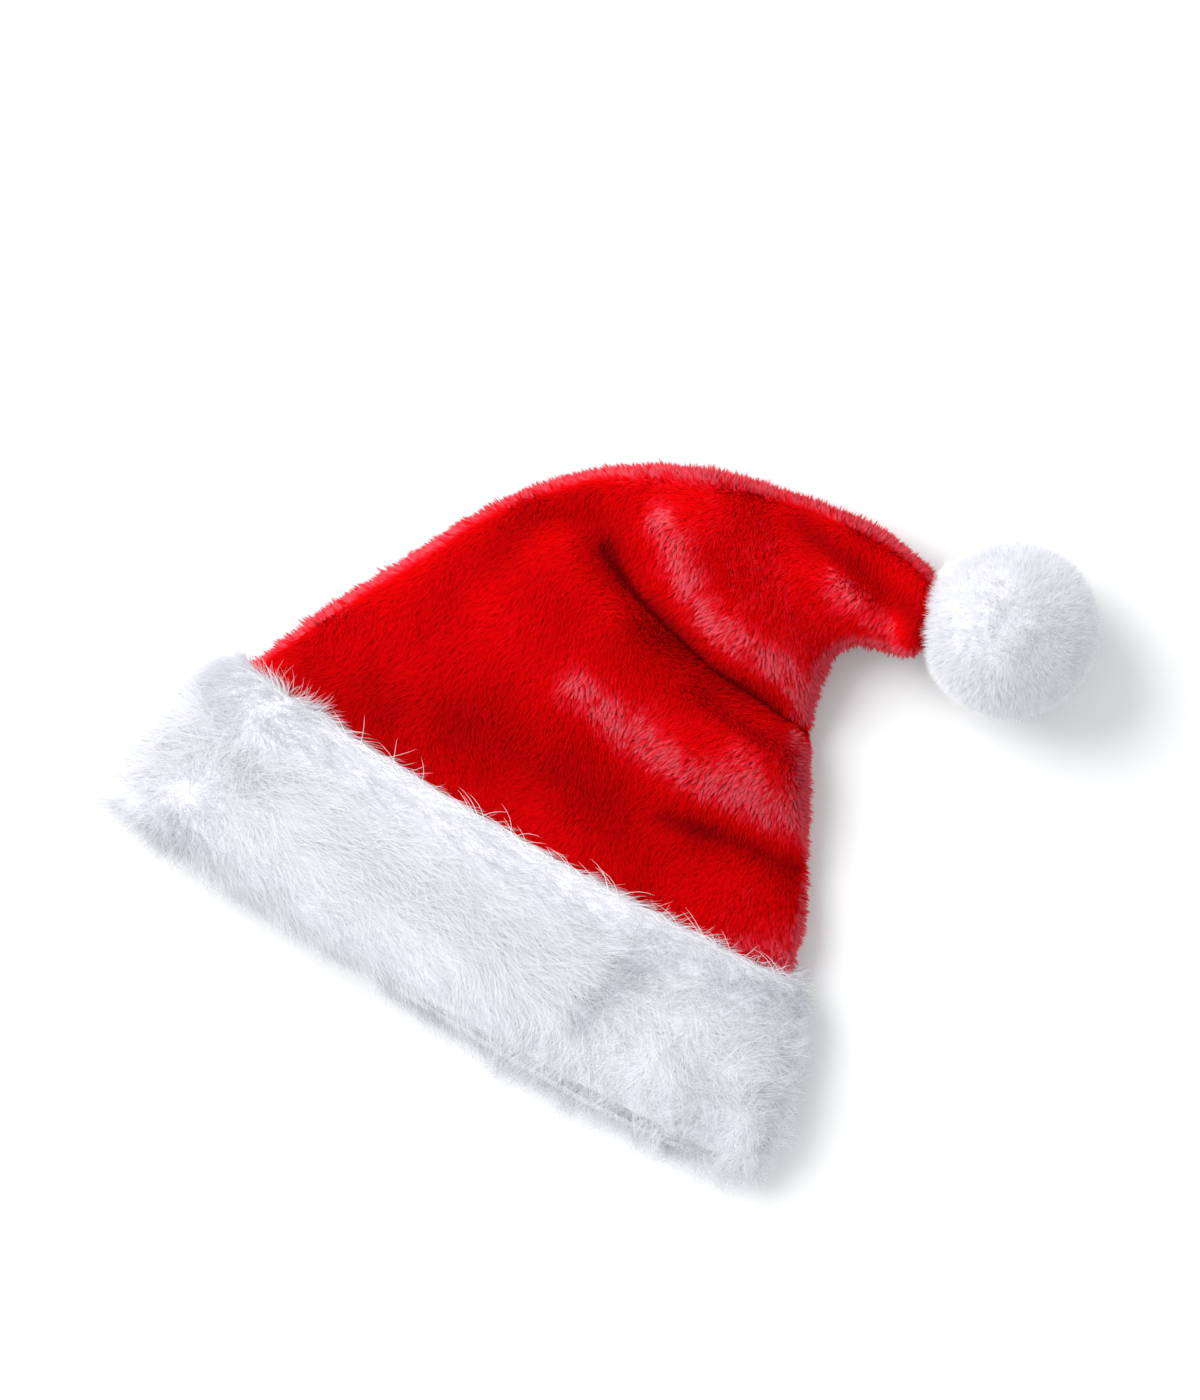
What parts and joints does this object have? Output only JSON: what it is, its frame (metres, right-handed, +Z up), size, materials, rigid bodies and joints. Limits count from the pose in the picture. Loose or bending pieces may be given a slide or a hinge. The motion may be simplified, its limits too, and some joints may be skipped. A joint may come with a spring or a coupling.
{
  "type": "santa hat",
  "caption": "Plush santa hat lying on its side, tip folded over to one side, with a deep white fur cuff round its opening and a pompom on the tip.",
  "frame": {"origin": "middle of the flat underside of the crown, on the surface that the hat lies on", "axes": "+X along the cuff towards the side that the tip falls to, +Y from the cuff up the crown, +Z up from the surface"},
  "size_m": [0.3306, 0.2932, 0.0717],
  "materials": {
    "red_plush": "short, dense, velvety red plush pile with a pale pink sheen on its folds",
    "white_fur": "deep, shaggy white fur in locks",
    "white_pompom": "dense, fluffy white fur, cut round"
  },
  "bodies": {
    "root": {"crown": "red_plush", "cuff": "white_fur", "pompom": "white_pompom"}
  },
  "joints": []
}
